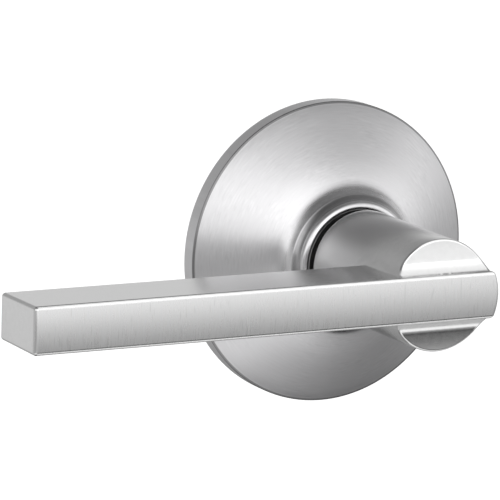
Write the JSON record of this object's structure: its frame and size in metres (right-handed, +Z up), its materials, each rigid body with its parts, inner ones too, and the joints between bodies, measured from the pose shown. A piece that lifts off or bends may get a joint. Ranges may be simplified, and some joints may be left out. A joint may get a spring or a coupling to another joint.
{
  "type": "lever handle lockset",
  "caption": "Passage lever handle on a round domed rose, outside half, with spring cage, drive sleeve, square spindle and threaded mounting posts.",
  "frame": {"origin": "on the spindle axis, in the plane of the door face (back of the mounting plate)", "axes": "-Y out of the door towards the hand, +Y into the door along the spindle, +Z up, +X away from the grip's free end"},
  "size_m": [0.1286, 0.1054, 0.0666],
  "materials": {
    "satin_chrome_rose": "satin chrome plate on die-cast zinc, fine circular brushing",
    "satin_chrome_lever": "satin chrome plate on die-cast zinc, brushed across the bar's front, smooth satin elsewhere",
    "black_acetal": "moulded acetal",
    "natural_nylon": "moulded nylon, natural",
    "zinc_plated_steel": "bright zinc plate on stamped steel",
    "cage_casting": "raw die-cast zinc",
    "turned_steel": "turned and lightly oiled",
    "yellow_zinc_screw": "yellow passivated screw",
    "spring_steel": "oil-tempered spring wire and strip"
  },
  "bodies": {
    "door_side": {"rose": "satin_chrome_rose", "neck_bushing": "black_acetal", "mounting_plate": "zinc_plated_steel", "mounting_posts": "zinc_plated_steel", "spring_cage": "cage_casting", "cage_screws": "yellow_zinc_screw", "rose_clips": "spring_steel", "clip_rivets": "turned_steel", "stop_pins": "turned_steel", "spring_anchor": "turned_steel", "rear_bushing": "natural_nylon", "take_up_washer": "spring_steel", "thrust_washer": "natural_nylon", "return_spring": "spring_steel"},
    "turning_set": {"lever": "satin_chrome_lever", "drive_sleeve": "turned_steel", "drive_plate": "zinc_plated_steel", "spring_spool": "natural_nylon", "retaining_ring": "spring_steel", "spindle": "zinc_plated_steel", "spindle_pin": "spring_steel", "catch_guide": "natural_nylon", "catch_spring": "spring_steel"},
    "catch": {"lever_catch": "turned_steel"}
  },
  "joints": [
    {"name": "lever_turn", "type": "hinge", "parent": "door_side", "child": "turning_set", "pos_m": [0, 0, 0], "axis": [0, -1, 0], "range_deg": [-50, 50], "stiffness_Nm_per_rad": 0.9, "deforming": ["return_spring"]},
    {"name": "catch_press", "type": "slide", "parent": "turning_set", "child": "catch", "axis": [0, 0, 1], "range_m": [0, 0.0018], "stiffness_N_per_m": 900, "springref_m": -0.0005, "deforming": ["catch_spring"]}
  ]
}
